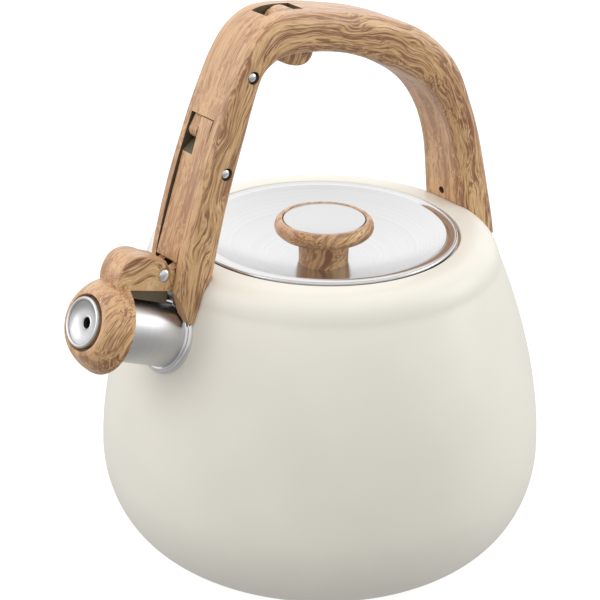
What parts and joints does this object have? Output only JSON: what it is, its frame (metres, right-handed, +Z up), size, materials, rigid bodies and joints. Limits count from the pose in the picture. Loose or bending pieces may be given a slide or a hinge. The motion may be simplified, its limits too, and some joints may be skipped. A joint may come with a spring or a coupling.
{
  "type": "stovetop whistling kettle",
  "caption": "Round-bellied stovetop kettle with a lift-off dished lid, fixed loop handle, and a squeeze trigger that flips up the whistle cap.",
  "frame": {"origin": "centre of the base's underside, on the hob", "axes": "+Z up, spout towards -X, rear leg of the handle towards +X, handle in the XZ plane"},
  "size_m": [0.219, 0.19, 0.2423],
  "materials": {
    "enamel": "satin",
    "wood_look": "satin",
    "brushed_steel": "brushed",
    "polished_steel": "polished",
    "aluminium_core": "matt"
  },
  "bodies": {
    "kettle": {"body_shell": "enamel", "body_floor": "enamel", "mouth_ring": "polished_steel", "base_core": "aluminium_core", "base_cap": "brushed_steel", "spout_tube": "brushed_steel", "spout_collar": "polished_steel", "handle": "wood_look", "front_bracket": "brushed_steel", "rear_bracket": "brushed_steel", "front_screw": "polished_steel", "rear_screw": "polished_steel", "trigger_pin": "polished_steel", "guide_pin": "polished_steel", "hinge_pin": "polished_steel", "return_spring": "polished_steel"},
    "lid": {"lid_dish": "brushed_steel", "lid_skirt": "brushed_steel", "knob_neck": "wood_look", "knob_rim": "wood_look", "knob_disc": "brushed_steel", "knob_screw": "polished_steel", "knob_washer": "brushed_steel"},
    "trigger": {"trigger_lever": "wood_look"},
    "rod": {"push_rod": "wood_look"},
    "cap": {"whistle_cap": "wood_look", "cap_liner": "polished_steel", "whistle_front_plate": "polished_steel", "whistle_rear_plate": "brushed_steel"}
  },
  "joints": [
    {"name": "lid_lift", "type": "slide", "parent": "kettle", "child": "lid", "axis": [0, 0, 1], "range_m": [0, 0.03]},
    {"name": "trigger_pivot", "type": "hinge", "parent": "kettle", "child": "trigger", "pos_m": [-0.0475, 0, 0.2208], "axis": [0, -1, 0], "range_deg": [0, 8], "stiffness_Nm_per_rad": 2, "springref_deg": -6.88},
    {"name": "rod_slide", "type": "slide", "parent": "kettle", "child": "rod", "axis": [-0.309, 0, -0.9511], "range_m": [0, 0.00562], "deforming": ["return_spring"]},
    {"name": "cap_hinge", "type": "hinge", "parent": "kettle", "child": "cap", "pos_m": [-0.0855, 0, 0.145], "axis": [0, 1, 0], "range_deg": [0, 44]}
  ],
  "couplings": [
    {"joint": "rod_slide", "follows": "trigger_pivot", "m_per_rad": 0.040244},
    {"joint": "cap_hinge", "follows": "trigger_pivot", "ratio": 5.5}
  ]
}
